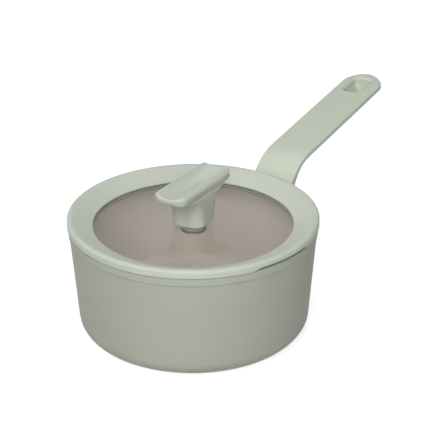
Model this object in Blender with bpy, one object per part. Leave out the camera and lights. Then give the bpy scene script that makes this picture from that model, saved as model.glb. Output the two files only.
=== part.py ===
# Saucepan with a glass lid: a tapered round vessel with a long handle, and a glass lid with a
# silicone rim and a tray-shaped knob. Origin at the centre of the underside, +Z up, handle along +X.

import math

import bmesh
import bpy
from mathutils import Matrix, Vector

MM = 0.001
GAP = 0.3 * MM                       # left between pieces that touch
SEGMENTS = 72                        # sides of the large turned pieces
SMALL_SEGMENTS = 32                  # sides of screws, washers and inserts

# Vessel
RIM_HEIGHT = 76.2 * MM               # top of the pouring rim
RIM_RADIUS = 83.7 * MM
RIM_FLARE = 0.6 * MM                 # how far the rim band stands out from the wall
RIM_BAND = 5.5 * MM
RIM_ROUND = 0.5 * MM
WALL = 2.9 * MM
WALL_TAPER = 0.074                   # radius lost per unit of depth
BASE = 4.5 * MM
BASE_CORNER = 12.2 * MM
INDUCTION_MARGIN = 4.4 * MM          # foot ring left round the steel disc
INDUCTION_THICKNESS = 0.8 * MM

# Lid rim, from the vessel's rim inwards
LIP_OVERHANG = 0.8 * MM
LIP_HEIGHT = 6.1 * MM                # crest above the vessel's rim
LIP_ROUND = 0.4 * MM                 # at the lip's lower edge
CREST_FALL = 2.2 * MM                # where the lip starts to turn over, below the crest
CREST_INSET = 1.5 * MM
CREST_WIDTH = 3.6 * MM               # from the lip's edge to where the inner slope starts
CREST_SLOPE = 0.5 * MM               # drop of the crest over that width
LID_PLAY = 0.6 * MM                  # between the skirt and the vessel's wall
SKIRT = 1.6 * MM
SKIRT_DEPTH = 8.3 * MM
CHANNEL = 3.3 * MM                   # open groove under the rim, behind the skirt
CHANNEL_RISE = 1.2 * MM              # its top above the vessel's rim
SKIRT_LEAD = 0.5 * MM                # chamfer that guides the skirt in
GROOVE_WALL = 2.2 * MM               # behind the glass edge
GLASS_BITE = 4.9 * MM                # how far the glass goes into the rim
UPPER_LIP = 1.3 * MM
UPPER_LIP_ROUND = 0.6 * MM
LOWER_LIP = 1.6 * MM
LOWER_LIP_SET_BACK = 0.8 * MM        # from the upper lip's inner edge
DRAIN_HEIGHT = 2.0 * MM              # of each notch above the vessel's rim
DRAIN_ANGLE = math.radians(34)
DRAIN_TURN = math.radians(13.4)      # of the notches, away from the handle
DRAIN_SLOTS = 5
DRAIN_SLOT_WIDTH = 3.0 * MM
DRAIN_SLOT_DROP = 4.0 * MM
DRAIN_SLOT_SPREAD = 0.84             # share of the notch that the row of slots takes

# Glass
GLASS_THICKNESS = 4.0 * MM
GLASS_DROP = 1.8 * MM                # edge of its top below the vessel's rim
GLASS_DOME = 0.9 * MM
GLASS_HOLE = 4.2 * MM                # radius
GLASS_SEAT_MARGIN = 3.0 * MM         # level glass round the steel washer
GLASS_EDGE_ROUND = 0.6 * MM

# Knob and its fastening
SCREW_RADIUS = 1.95 * MM
SCREW_HEAD_RADIUS = 4.6 * MM
SCREW_HEAD_HEIGHT = 2.4 * MM
SCREW_SLOT = 1.0 * MM
SCREW_CLEARANCE = 0.35 * MM
WASHER_RADIUS = 8.0 * MM
KNOB_WASHER_THICKNESS = 2.0 * MM
UNDER_WASHER_THICKNESS = 1.8 * MM
STEEL_WASHER_RADIUS = 8.8 * MM
STEEL_WASHER_THICKNESS = 1.0 * MM
INSERT_WALL = 1.4 * MM
INSERT_LENGTH = 11.0 * MM
INSERT_INSET = 0.6 * MM
KNOB_BORE_DEPTH = 14.0 * MM
KNOB_HEIGHT = 28.8 * MM
KNOB_LENGTH = 62.5 * MM
KNOB_WIDTH = 24.0 * MM
KNOB_CORNER = 5.5 * MM
KNOB_COLUMN = 22.8 * MM               # across the flats at its foot
KNOB_COLUMN_CORNER = 7.5 * MM
KNOB_EDGE = 5.6 * MM                 # thickness of the tray's edge
KNOB_RIM = 2.4 * MM                  # width of the tray's raised rim
KNOB_TROUGH = 6.0 * MM
KNOB_FOOT_ROUND = 0.9 * MM
KNOB_FLARE = (                       # growth of the half length and half width, share of the column's height
    (0.8 * MM, 0.2 * MM, 0.40),
    (1.8 * MM, 0.2 * MM, 0.62),
    (4.8 * MM, 0.0 * MM, 0.79),
)
KNOB_FLARE_END = (10.5 * MM, -0.2 * MM, 0.92)
KNOB_EDGE_ROUND = (                  # inset of the half length and half width, height above the tray's edge
    (3.4 * MM, 0.8 * MM, 0.0 * MM),
    (0.8 * MM, 0.2 * MM, 0.7 * MM),
    (0.0 * MM, 0.0 * MM, 2.0 * MM),
)
KNOB_RIM_ROUND = (                   # the same insets, and the depth below the top
    (0.0 * MM, 0.0 * MM, 1.2 * MM),
    (0.4 * MM, 0.4 * MM, 0.3 * MM),
    (1.0 * MM, 0.9 * MM, 0.0 * MM),
)

# Handle: its upper edge line leaves the wall, climbs and bends into the long grip
ROOT_DROP = 23.5 * MM                # upper edge below the vessel's rim at the wall
ROOT_STAND_OFF = 6.4 * MM
ROOT_HEADING = math.radians(12)
ROOT_BEND = 22.0 * MM
CLIMB_HEADING = math.radians(46)
CLIMB_LENGTH = 15.4 * MM
GRIP_BEND = 40.0 * MM
GRIP_HEADING = math.radians(7.2)
GRIP_LENGTH = 130.8 * MM             # straight stretch, round end included
HANDLE_WIDTH = 32.2 * MM
HANDLE_EDGE = 2.4 * MM
HANDLE_DEPTH = 11.5 * MM
HANDLE_DISH = 1.6 * MM
ROOT_WIDTH = 27.0 * MM
ROOT_EDGE = 8.5 * MM
ROOT_DEPTH = 17.0 * MM
ROOT_DISH = 0.4 * MM
ROOT_BLEND = 46.0 * MM               # along the handle
HANGING_HOLE_LENGTH = 24.0 * MM
HANGING_HOLE_WIDTH = 13.0 * MM
HANGING_HOLE_CORNER = 4.5 * MM
HANGING_HOLE_INSET = 8.5 * MM        # from the tip
TIP_STEPS = 7                        # stations round the tip
TIP_ANGLE = math.radians(84)         # how far round the last of them is

# Bracket on the wall and the screw that holds the handle
TONGUE_LENGTH = 18.0 * MM
TONGUE_WIDTH = 14.0 * MM
TONGUE_THICKNESS = 5.0 * MM
TONGUE_HEADING = math.radians(22)
TONGUE_SINK = 7.5 * MM               # below the handle's upper edge at the root
TONGUE_BACK = 4.0 * MM               # how far it runs back into the bracket's pad
TONGUE_CORNER = 1.2 * MM
HANDLE_SCREW_RADIUS = 2.4 * MM
HANDLE_SCREW_HEAD = 4.2 * MM
HANDLE_SCREW_HEAD_HEIGHT = 2.4 * MM
HANDLE_SCREW_PLACE = 9.5 * MM       # along the tongue
HANDLE_SCREW_GRIP = 1.8 * MM         # handle wall between the tongue and the washer
HANDLE_WASHER_RADIUS = 4.8 * MM
HANDLE_WASHER_THICKNESS = 1.0 * MM

SAGE = (0.54, 0.58, 0.49)
PALE_SAGE = (0.56, 0.60, 0.50)


def wall_radius(z):
    """Outer radius of the tapered wall at a height."""
    return RIM_RADIUS - RIM_FLARE - WALL_TAPER * (RIM_HEIGHT - RIM_BAND - z)


def arc(center_x, center_z, radius, start, end, steps):
    """Points (x, z) on an arc between two angles, both ends included."""
    points = []
    for i in range(steps + 1):
        angle = start + (end - start) * i / steps
        points.append((center_x + radius * math.cos(angle), center_z + radius * math.sin(angle)))
    return points


def make_material(name, color, roughness, metallic=0.0):
    material = bpy.data.materials.new(name)
    material.use_nodes = True
    shader = material.node_tree.nodes["Principled BSDF"]
    shader.inputs["Base Color"].default_value = (*color, 1.0)
    shader.inputs["Roughness"].default_value = roughness
    shader.inputs["Metallic"].default_value = metallic
    return material


def add_object(name, bm, material=None, sharp=35.0):
    """Turn a bmesh into a smooth-shaded object of the scene."""
    bmesh.ops.recalc_face_normals(bm, faces=bm.faces)
    mesh = bpy.data.meshes.new(name)
    bm.to_mesh(mesh)
    bm.free()
    mesh.shade_smooth()
    mesh.set_sharp_from_angle(angle=math.radians(sharp))
    if material:
        mesh.materials.append(material)
    obj = bpy.data.objects.new(name, mesh)
    bpy.context.scene.collection.objects.link(obj)
    return obj


def turned(name, profile, material=None, segments=SEGMENTS, sweep=math.tau, start=0.0):
    """Spin a closed (x, z) profile round the Z axis, all the way or through an angle."""
    bm = bmesh.new()
    verts = [bm.verts.new((x, 0.0, z)) for x, z in profile]
    face = bm.faces.new(verts)
    bmesh.ops.rotate(bm, verts=verts, cent=(0, 0, 0), matrix=Matrix.Rotation(start, 3, "Z"))
    full = sweep > math.tau - 0.001
    geometry = list(bm.edges) if full else [face, *bm.edges, *bm.verts]
    if full:
        bmesh.ops.delete(bm, geom=[face], context="FACES_ONLY")
    bmesh.ops.spin(bm, geom=geometry, cent=(0, 0, 0), axis=(0, 0, 1), angle=sweep, steps=segments)
    bmesh.ops.remove_doubles(bm, verts=bm.verts, dist=0.000001)
    return add_object(name, bm, material)


def lofted(name, loops, material=None, cap_start=True, cap_end=True):
    """Skin a row of loops that have the same number of points, and close both ends."""
    bm = bmesh.new()
    rings = [[bm.verts.new(point) for point in loop] for loop in loops]
    for ring, following in zip(rings, rings[1:]):
        count = len(ring)
        for i in range(count):
            j = (i + 1) % count
            bm.faces.new((ring[i], ring[j], following[j], following[i]))
    if cap_start:
        bm.faces.new(rings[0])
    if cap_end:
        bm.faces.new(rings[-1])
    return add_object(name, bm, material)


def make_cutter(obj):
    """Keep a shape for cutting only."""
    obj.hide_render = True
    obj.display_type = "WIRE"
    return obj


def boolean(target, other, operation="DIFFERENCE"):
    modifier = target.modifiers.new(f"{operation.lower()}_{other.name}", "BOOLEAN")
    modifier.operation = operation
    modifier.solver = "EXACT"
    modifier.object = other
    make_cutter(other)


def rounded_box(name, size, radius, matrix, material=None):
    """Box of a full size with its long edges rounded, placed by a matrix."""
    bm = bmesh.new()
    bmesh.ops.create_cube(bm, size=1.0)
    bmesh.ops.scale(bm, vec=size, verts=bm.verts)
    along = [e for e in bm.edges if abs((e.verts[0].co - e.verts[1].co).x) > size[0] / 2]
    bmesh.ops.bevel(bm, geom=along, offset=radius, segments=3, profile=0.5, affect="EDGES")
    bmesh.ops.transform(bm, matrix=matrix, verts=bm.verts)
    return add_object(name, bm, material)


def rounded_outline(half_x, half_y, corner, z, steps=11):
    """Loop of points on a rectangle with round corners, at a height."""
    loop = []
    for quarter, (side_x, side_y) in enumerate(((1, 1), (-1, 1), (-1, -1), (1, -1))):
        center = (side_x * (half_x - corner), side_y * (half_y - corner))
        for x, y in arc(*center, corner, quarter * math.pi / 2, (quarter + 1) * math.pi / 2, steps):
            loop.append((x, y, z))
    return loop


# ---- vessel

def make_pan_body():
    top_wall = RIM_HEIGHT - RIM_BAND
    slope = math.atan(WALL_TAPER)
    foot_center = wall_radius(BASE_CORNER) - BASE_CORNER / math.cos(slope)
    inner_corner = BASE_CORNER - WALL
    inner_center = wall_radius(BASE + inner_corner) - WALL - inner_corner / math.cos(slope)
    disc_radius = foot_center - INDUCTION_MARGIN

    profile = [(0.0, BASE)]
    profile += arc(inner_center, BASE + inner_corner, inner_corner, -math.pi / 2, -slope, 6)
    profile += [
        (wall_radius(top_wall) - WALL, top_wall),
        (RIM_RADIUS - RIM_FLARE - WALL, RIM_HEIGHT - RIM_ROUND),
        (RIM_RADIUS - RIM_FLARE - WALL + RIM_ROUND, RIM_HEIGHT),
        (RIM_RADIUS - RIM_ROUND, RIM_HEIGHT),
        (RIM_RADIUS, RIM_HEIGHT - RIM_ROUND),
        (RIM_RADIUS, RIM_HEIGHT - RIM_BAND * 0.4),
        (wall_radius(top_wall) + RIM_FLARE * 0.5, RIM_HEIGHT - RIM_BAND * 0.75),
        (wall_radius(top_wall), top_wall),
    ]
    profile += arc(foot_center, BASE_CORNER, BASE_CORNER, -slope, -math.pi / 2, 7)
    profile += [
        (disc_radius + GAP, 0.0),
        (disc_radius + GAP, INDUCTION_THICKNESS + GAP),
        (0.0, INDUCTION_THICKNESS + GAP),
    ]
    return turned("pan_body", profile, make_material("sage_coating", SAGE, 0.45))


def make_induction_base():
    slope = math.atan(WALL_TAPER)
    radius = wall_radius(BASE_CORNER) - BASE_CORNER / math.cos(slope) - INDUCTION_MARGIN
    profile = [(0.0, INDUCTION_THICKNESS), (0.0, 0.0), (radius, 0.0), (radius, INDUCTION_THICKNESS)]
    return turned("induction_base", profile, make_material("base_steel", (0.6, 0.6, 0.6), 0.35, 1.0))


# ---- lid

def skirt_radius():
    return RIM_RADIUS - RIM_FLARE - WALL - LID_PLAY


def channel_inner_radius():
    return skirt_radius() - SKIRT - CHANNEL


def glass_radius():
    return channel_inner_radius() - GROOVE_WALL - GAP


def glass_edge_top():
    return RIM_HEIGHT - GLASS_DROP


def glass_center_top():
    return glass_edge_top() + GLASS_DOME


def knob_bottom():
    return glass_center_top() + 2 * GAP + KNOB_WASHER_THICKNESS


def sector(name, inner, outer, bottom, top, sweep, middle):
    """Part of a square-edged ring, for cutting a notch."""
    profile = [(inner, bottom), (outer, bottom), (outer, top), (inner, top)]
    return turned(name, profile, None, 16, sweep, middle - sweep / 2)


def make_lid_rim():
    lip = RIM_RADIUS + LIP_OVERHANG
    under = RIM_HEIGHT + GAP
    crest = RIM_HEIGHT + LIP_HEIGHT
    skirt = skirt_radius()
    inner = glass_radius() - GLASS_BITE
    groove = glass_radius() + GAP
    groove_top = glass_edge_top() + GAP
    groove_bottom = glass_edge_top() - GLASS_THICKNESS - GAP
    edge_top = groove_top + UPPER_LIP
    channel_top = RIM_HEIGHT + CHANNEL_RISE
    skirt_bottom = RIM_HEIGHT - SKIRT_DEPTH

    profile = [(lip - LIP_ROUND, under), (lip, under + LIP_ROUND), (lip, crest - CREST_FALL)]
    profile += arc(lip - CREST_INSET, crest - CREST_INSET, CREST_INSET, math.radians(15), math.pi / 2, 4)
    profile += [
        (lip - CREST_WIDTH, crest - CREST_SLOPE),
        (inner + UPPER_LIP_ROUND, edge_top),
        (inner, edge_top - UPPER_LIP_ROUND),
        (inner, groove_top),
        (groove, groove_top),
        (groove, groove_bottom),
        (inner + LOWER_LIP_SET_BACK, groove_bottom),
        (inner + LOWER_LIP_SET_BACK, groove_bottom - LOWER_LIP),
        (channel_inner_radius(), groove_bottom - LOWER_LIP),
        (channel_inner_radius(), channel_top),
        (skirt - SKIRT, channel_top),
        (skirt - SKIRT, skirt_bottom),
        (skirt - SKIRT_LEAD, skirt_bottom),
        (skirt, skirt_bottom + 2 * SKIRT_LEAD),
        (skirt, under),
    ]
    rim = turned("lid_rim", profile, make_material("sage_silicone", PALE_SAGE, 0.5))

    for side, middle in (("front", -math.pi / 2 - DRAIN_TURN), ("back", math.pi / 2 - DRAIN_TURN)):
        notch = sector(f"notch_{side}", skirt + GAP, lip + 2 * MM, under - 1 * MM,
                       RIM_HEIGHT + DRAIN_HEIGHT, DRAIN_ANGLE, middle)
        boolean(notch, make_drain_slots(side, middle), "UNION")
        boolean(rim, notch)
    return rim


def make_drain_slots(side, middle):
    """Row of small boxes that open the channel towards the notch."""
    bm = bmesh.new()
    low = RIM_HEIGHT - DRAIN_SLOT_DROP
    high = RIM_HEIGHT + CHANNEL_RISE - 0.1 * MM
    inner = skirt_radius() - SKIRT - CHANNEL / 2
    outer = RIM_RADIUS + LIP_OVERHANG - 2 * MM
    pitch = DRAIN_ANGLE * DRAIN_SLOT_SPREAD / (DRAIN_SLOTS - 1)
    for i in range(DRAIN_SLOTS):
        angle = middle + (i - (DRAIN_SLOTS - 1) / 2) * pitch
        middle_of_slot = Matrix.Translation(((inner + outer) / 2, 0, (low + high) / 2))
        place = Matrix.Rotation(angle, 4, "Z") @ middle_of_slot
        size = Matrix.Diagonal((outer - inner, DRAIN_SLOT_WIDTH, high - low, 1))
        bmesh.ops.create_cube(bm, size=1.0, matrix=place @ size)
    return add_object(f"drain_slots_{side}", bm)


def make_lid_glass():
    radius = glass_radius()
    edge = glass_edge_top()
    flat = STEEL_WASHER_RADIUS + GLASS_SEAT_MARGIN
    round_off = GLASS_EDGE_ROUND

    def top(r):
        share = max(0.0, (r - flat) / (radius - flat))
        return edge + GLASS_DOME * (1 - share ** 2)

    steps = 5
    radii = [flat + (radius - round_off - flat) * i / steps for i in range(steps + 1)]
    profile = [(GLASS_HOLE, edge + GLASS_DOME)]
    profile += [(r, top(r)) for r in radii]
    profile += [(radius, edge - round_off), (radius, edge - GLASS_THICKNESS + round_off)]
    profile += [(r, top(r) - GLASS_THICKNESS) for r in reversed(radii)]
    profile += [(GLASS_HOLE, edge + GLASS_DOME - GLASS_THICKNESS)]
    glass = make_material("clear_glass", (0.85, 0.88, 0.87), 0.03)
    glass.node_tree.nodes["Principled BSDF"].inputs["Transmission Weight"].default_value = 1.0
    return turned("lid_glass", profile, glass)


def make_lid_knob():
    bottom = knob_bottom()
    top = bottom + KNOB_HEIGHT
    edge = top - KNOB_EDGE
    half_x = KNOB_LENGTH / 2
    half_y = KNOB_WIDTH / 2
    column = KNOB_COLUMN / 2
    bore = SCREW_RADIUS + SCREW_CLEARANCE + INSERT_WALL + GAP
    flare = edge - bottom                        # height of the column and its flare
    floor_x = half_x - KNOB_RIM
    floor_y = half_y - KNOB_RIM
    foot = column - KNOB_FOOT_ROUND
    # half length, half width, corner radius, height
    levels = [
        (0.1 * MM, 0.1 * MM, 0.09 * MM, bottom + KNOB_BORE_DEPTH),
        (bore, bore, bore * 0.99, bottom + KNOB_BORE_DEPTH),
        (bore, bore, bore * 0.99, bottom),
        (foot, foot, KNOB_COLUMN_CORNER - KNOB_FOOT_ROUND, bottom),
        (column, column, KNOB_COLUMN_CORNER, bottom + KNOB_FOOT_ROUND),
    ]
    for longer, wider, share in KNOB_FLARE:
        levels.append((column + longer, column + wider, KNOB_COLUMN_CORNER, bottom + flare * share))
    longer, wider, share = KNOB_FLARE_END
    levels.append((column + longer, column + wider, KNOB_CORNER + 1 * MM, bottom + flare * share))
    for inset_x, inset_y, rise in KNOB_EDGE_ROUND:
        levels.append((half_x - inset_x, half_y - inset_y, KNOB_CORNER, edge + rise))
    for inset_x, inset_y, drop in KNOB_RIM_ROUND:
        levels.append((half_x - inset_x, half_y - inset_y, KNOB_CORNER - inset_y, top - drop))
    levels += [
        (floor_x, floor_y, KNOB_CORNER - 1.6 * MM, top - 0.2 * MM),
        (floor_x - 2.6 * MM, floor_y - 1.2 * MM, KNOB_CORNER - 1.6 * MM, top - KNOB_TROUGH * 0.35),
        (floor_x * 0.72, floor_y * 0.66, KNOB_CORNER - 2 * MM, top - KNOB_TROUGH * 0.80),
        (floor_x * 0.36, floor_y * 0.33, KNOB_CORNER - 2.6 * MM, top - KNOB_TROUGH),
    ]
    loops = [rounded_outline(*level) for level in levels]
    return lofted("lid_knob", loops, make_material("sage_knob", SAGE, 0.5))


def ring(name, inner, outer, bottom, top, material):
    profile = [(inner, bottom), (outer, bottom), (outer, top), (inner, top)]
    return turned(name, profile, material, SMALL_SEGMENTS)


def make_lid_fastening():
    """Insert, washers and screw that clamp the knob through the glass."""
    silicone = make_material("washer_silicone", (0.75, 0.74, 0.70), 0.5)
    steel = make_material("screw_steel", (0.65, 0.65, 0.64), 0.3, 1.0)
    brass = make_material("insert_brass", (0.75, 0.60, 0.32), 0.35, 1.0)
    hole = SCREW_RADIUS + SCREW_CLEARANCE
    glass_top = glass_center_top()
    glass_bottom = glass_top - GLASS_THICKNESS
    under_top = glass_bottom - GAP
    steel_top = under_top - UNDER_WASHER_THICKNESS - GAP
    head_top = steel_top - STEEL_WASHER_THICKNESS - GAP
    seat = glass_top + GAP
    collar = GLASS_HOLE - GAP

    profile = [
        (hole, glass_bottom + GLASS_THICKNESS * 0.4),
        (collar, glass_bottom + GLASS_THICKNESS * 0.4),
        (collar, seat),
        (WASHER_RADIUS, seat),
        (WASHER_RADIUS, seat + KNOB_WASHER_THICKNESS),
        (hole, seat + KNOB_WASHER_THICKNESS),
    ]
    turned("knob_washer", profile, silicone, SMALL_SEGMENTS)
    ring("under_glass_washer", hole, WASHER_RADIUS, under_top - UNDER_WASHER_THICKNESS, under_top, silicone)
    ring("steel_washer", hole, STEEL_WASHER_RADIUS, steel_top - STEEL_WASHER_THICKNESS, steel_top, steel)

    insert_bottom = knob_bottom() + INSERT_INSET
    ring("knob_insert", hole, hole + INSERT_WALL, insert_bottom, insert_bottom + INSERT_LENGTH, brass)

    screw_top = insert_bottom + INSERT_LENGTH - 1 * MM
    shank = SCREW_RADIUS
    head = SCREW_HEAD_RADIUS
    profile = [
        (0.0, screw_top),
        (0.0, head_top - SCREW_HEAD_HEIGHT),
        (head * 0.62, head_top - SCREW_HEAD_HEIGHT),
        (head * 0.92, head_top - SCREW_HEAD_HEIGHT * 0.65),
        (head, head_top - SCREW_HEAD_HEIGHT * 0.25),
        (head, head_top),
        (shank, head_top),
        (shank, screw_top - 0.6 * MM),
        (shank - 0.6 * MM, screw_top),
    ]
    screw = turned("lid_screw", profile, steel, SMALL_SEGMENTS)
    slot_depth = SCREW_HEAD_HEIGHT * 0.5
    place = Matrix.Translation((0, 0, head_top - SCREW_HEAD_HEIGHT))
    slot = rounded_box("lid_screw_slot", (head * 3, SCREW_SLOT, slot_depth * 2), 0.1 * MM, place)
    boolean(screw, slot)


# ---- handle

def handle_line():
    """Stations of the handle's upper edge: x, z, heading and the distance walked."""
    x = wall_radius(RIM_HEIGHT - ROOT_DROP - ROOT_DEPTH / 2) + ROOT_STAND_OFF + GAP
    z = RIM_HEIGHT - ROOT_DROP
    heading = ROOT_HEADING
    walked = 0.0
    stations = [(x, z, heading, walked)]
    moves = [
        ("bend", ROOT_BEND, CLIMB_HEADING, 5),
        ("run", CLIMB_LENGTH, None, 3),
        ("bend", GRIP_BEND, GRIP_HEADING, 8),
        ("run", GRIP_LENGTH - HANDLE_WIDTH / 2, None, 9),
    ]
    for kind, amount, target, steps in moves:
        turn = (target - heading) / steps if kind == "bend" else 0.0
        step = abs(turn) * amount if kind == "bend" else amount / steps
        for _ in range(steps):
            middle = heading + turn / 2
            x += step * math.cos(middle)
            z += step * math.sin(middle)
            heading += turn
            walked += step
            stations.append((x, z, heading, walked))
    # round end: the width shrinks as a circle's does
    tip_x, tip_z, tip_walked = x, z, walked
    for i in range(1, TIP_STEPS + 1):
        reach = HANDLE_WIDTH / 2 * math.sin(TIP_ANGLE * i / TIP_STEPS)
        stations.append((tip_x + reach * math.cos(heading), tip_z + reach * math.sin(heading),
                         heading, tip_walked + reach))
    return stations


def handle_tip():
    """End of the straight stretch's centre line, at the very tip."""
    x, z, heading, _ = handle_line()[-TIP_STEPS - 1]
    return x + HANDLE_WIDTH / 2 * math.cos(heading), z + HANDLE_WIDTH / 2 * math.sin(heading), heading


def ease(share):
    share = min(1.0, max(0.0, share))
    return share * share * (3 - 2 * share)


def handle_section(half, edge, depth, dish, boat):
    """Cross-section (across, up): hollow top, thin edges and an underside from round to boat-like."""
    top_steps = 6
    belly_steps = 12
    corner = min(1.0 * MM, half * 0.4, edge * 0.4)
    points = []
    for i in range(top_steps + 1):
        across = (half - corner) * (1 - 2 * i / top_steps)
        points.append((across, -dish * (1 - (across / half) ** 2)))
    points.append((-half, -corner))
    for i in range(belly_steps + 1):
        angle = math.pi * i / belly_steps
        share = math.cos(angle)
        fall = max(0.0, 1 - abs(share) ** (2 - 0.5 * boat)) ** (0.5 + 0.5 * boat)
        points.append((-half * share, -edge - (depth - edge) * fall))
    points.append((half, -corner))
    return points


def make_handle_grip():
    stations = handle_line()
    straight_end = stations[-TIP_STEPS - 1][3]
    loops = []
    for x, z, heading, walked in stations:
        blend = ease(walked / ROOT_BLEND)
        past = max(0.0, walked - straight_end) / (HANDLE_WIDTH / 2)
        shrink = math.sqrt(max(0.0, 1 - past * past))
        half = (ROOT_WIDTH + (HANDLE_WIDTH - ROOT_WIDTH) * blend) / 2 * shrink
        edge = ROOT_EDGE + (HANDLE_EDGE - ROOT_EDGE) * blend
        depth = ROOT_DEPTH + (HANDLE_DEPTH - ROOT_DEPTH) * blend
        depth = edge + (depth - edge) * shrink
        dish = (ROOT_DISH + (HANDLE_DISH - ROOT_DISH) * blend) * shrink
        normal = Vector((-math.sin(heading), 0, math.cos(heading)))
        base = Vector((x, 0, z))
        if walked == 0.0:                        # the first section is upright, against the bracket
            normal = Vector((0, 0, 1))
        loops.append([base + Vector((0, across, 0)) + normal * up
                      for across, up in handle_section(half, edge, depth, dish, blend)])
    grip = lofted("handle_grip", loops, make_material("sage_handle", SAGE, 0.5))

    tip_x, tip_z, heading = handle_tip()
    middle = HANGING_HOLE_INSET + HANGING_HOLE_LENGTH / 2
    center = Vector((tip_x - middle * math.cos(heading), 0, tip_z - middle * math.sin(heading)))
    place = Matrix.Translation(center) @ Matrix.Rotation(-heading, 4, "Y")
    loops = []
    for up in (-2 * HANDLE_DEPTH, HANDLE_DEPTH):
        outline = rounded_outline(HANGING_HOLE_LENGTH / 2, HANGING_HOLE_WIDTH / 2, HANGING_HOLE_CORNER, up, 6)
        loops.append([place @ Vector(point) for point in outline])
    boolean(grip, lofted("hanging_hole", loops))
    boolean(grip, make_tongue("tongue_socket", GAP))
    low = -2 * ROOT_DEPTH
    seat = -TONGUE_THICKNESS / 2 - HANDLE_SCREW_GRIP
    well = HANDLE_WASHER_RADIUS + GAP
    hole = HANDLE_SCREW_RADIUS + GAP
    profile = [(0, low), (well, low), (well, seat), (hole, seat), (hole, 0), (0, 0)]
    boolean(grip, screw_piece("screw_well", profile))
    return grip


# ---- bracket and handle screw

def tongue_frame():
    """Matrix whose X runs along the tongue from its root."""
    x, z, _, _ = handle_line()[0]
    place = Matrix.Translation((x, 0, z - TONGUE_SINK))
    return place @ Matrix.Rotation(-TONGUE_HEADING, 4, "Y")


def make_tongue(name, growth=0.0, material=None):
    length = TONGUE_LENGTH + TONGUE_BACK + 2 * growth
    size = (length, TONGUE_WIDTH + 2 * growth, TONGUE_THICKNESS + 2 * growth)
    place = tongue_frame() @ Matrix.Translation(((TONGUE_LENGTH - TONGUE_BACK) / 2, 0, 0))
    return rounded_box(name, size, TONGUE_CORNER, place, material)


def screw_piece(name, profile, material=None):
    """Turned piece on the handle screw's axis; heights are measured from the tongue's middle."""
    obj = turned(name, profile, material, SMALL_SEGMENTS, start=0.1)
    place = tongue_frame() @ Matrix.Translation((HANDLE_SCREW_PLACE, 0, 0))
    obj.data.transform(place)
    return obj


def make_handle_bracket():
    """Pad that hugs the wall and the tongue that the handle slides over."""
    x, z, _, _ = handle_line()[0]
    section = handle_section(ROOT_WIDTH / 2, ROOT_EDGE, ROOT_DEPTH, 0.0, 0.0)
    inner = wall_radius(0) - WALL
    loops = [[(at, across, z + up) for across, up in section] for at in (inner, x - GAP)]
    bracket = lofted("handle_bracket", loops, make_material("bracket_steel", (0.62, 0.62, 0.60), 0.4, 1.0))

    low = z - 2 * ROOT_DEPTH
    high = z + ROOT_DEPTH
    profile = [(0, low), (wall_radius(low) + GAP, low), (wall_radius(high) + GAP, high), (0, high)]
    boolean(bracket, turned("wall_envelope", profile))
    tongue = make_tongue("tongue")
    boolean(bracket, tongue, "UNION")
    radius = HANDLE_SCREW_RADIUS + GAP
    hole = [(0, -ROOT_DEPTH), (radius, -ROOT_DEPTH), (radius, ROOT_DEPTH), (0, ROOT_DEPTH)]
    boolean(bracket, screw_piece("tongue_hole", hole))
    return bracket


def make_handle_screw():
    steel = make_material("handle_screw_steel", (0.63, 0.63, 0.62), 0.3, 1.0)
    seat = -TONGUE_THICKNESS / 2 - HANDLE_SCREW_GRIP - GAP
    below = seat - HANDLE_WASHER_THICKNESS
    hole = HANDLE_SCREW_RADIUS + GAP
    outer = HANDLE_WASHER_RADIUS
    screw_piece("handle_washer", [(hole, below), (outer, below), (outer, seat), (hole, seat)], steel)

    head_top = below - GAP
    head_bottom = head_top - HANDLE_SCREW_HEAD_HEIGHT
    shank_top = TONGUE_THICKNESS / 2 - 0.2 * MM
    profile = [
        (0, head_bottom),
        (HANDLE_SCREW_HEAD * 0.8, head_bottom),
        (HANDLE_SCREW_HEAD, head_bottom + 0.8 * MM),
        (HANDLE_SCREW_HEAD, head_top),
        (HANDLE_SCREW_RADIUS, head_top),
        (HANDLE_SCREW_RADIUS, shank_top),
        (0, shank_top),
    ]
    screw = screw_piece("handle_screw", profile, steel)
    depth = HANDLE_SCREW_HEAD_HEIGHT * 0.5
    place = tongue_frame() @ Matrix.Translation((HANDLE_SCREW_PLACE, 0, head_bottom))
    boolean(screw, rounded_box("handle_screw_slot", (HANDLE_SCREW_HEAD * 3, SCREW_SLOT, depth * 2),
                               0.1 * MM, place))


def clear_scene():
    for obj in list(bpy.data.objects):
        bpy.data.objects.remove(obj, do_unlink=True)


def main():
    clear_scene()
    make_pan_body()
    make_induction_base()
    make_lid_rim()
    make_lid_glass()
    make_lid_knob()
    make_lid_fastening()
    make_handle_grip()
    make_handle_bracket()
    make_handle_screw()


main()
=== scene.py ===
import math

import bmesh
import bpy
from mathutils import Matrix, Vector


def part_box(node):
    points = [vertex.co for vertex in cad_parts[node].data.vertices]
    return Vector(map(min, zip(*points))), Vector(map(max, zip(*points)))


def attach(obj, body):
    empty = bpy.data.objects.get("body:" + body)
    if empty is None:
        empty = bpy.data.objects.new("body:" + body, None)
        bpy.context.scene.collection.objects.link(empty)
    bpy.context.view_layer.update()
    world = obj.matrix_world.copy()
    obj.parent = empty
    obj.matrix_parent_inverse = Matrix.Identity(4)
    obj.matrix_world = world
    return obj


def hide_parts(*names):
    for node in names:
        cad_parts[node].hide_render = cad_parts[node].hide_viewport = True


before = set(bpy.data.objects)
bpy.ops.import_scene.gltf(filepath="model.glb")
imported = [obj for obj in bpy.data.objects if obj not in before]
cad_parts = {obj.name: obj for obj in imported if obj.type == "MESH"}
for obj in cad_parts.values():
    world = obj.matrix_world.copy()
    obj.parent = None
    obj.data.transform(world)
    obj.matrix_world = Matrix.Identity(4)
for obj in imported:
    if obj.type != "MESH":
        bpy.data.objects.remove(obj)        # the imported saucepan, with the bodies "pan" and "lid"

mm = 0.001
tiny = 0.001 * mm        # nearer than this, two points are one
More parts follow.
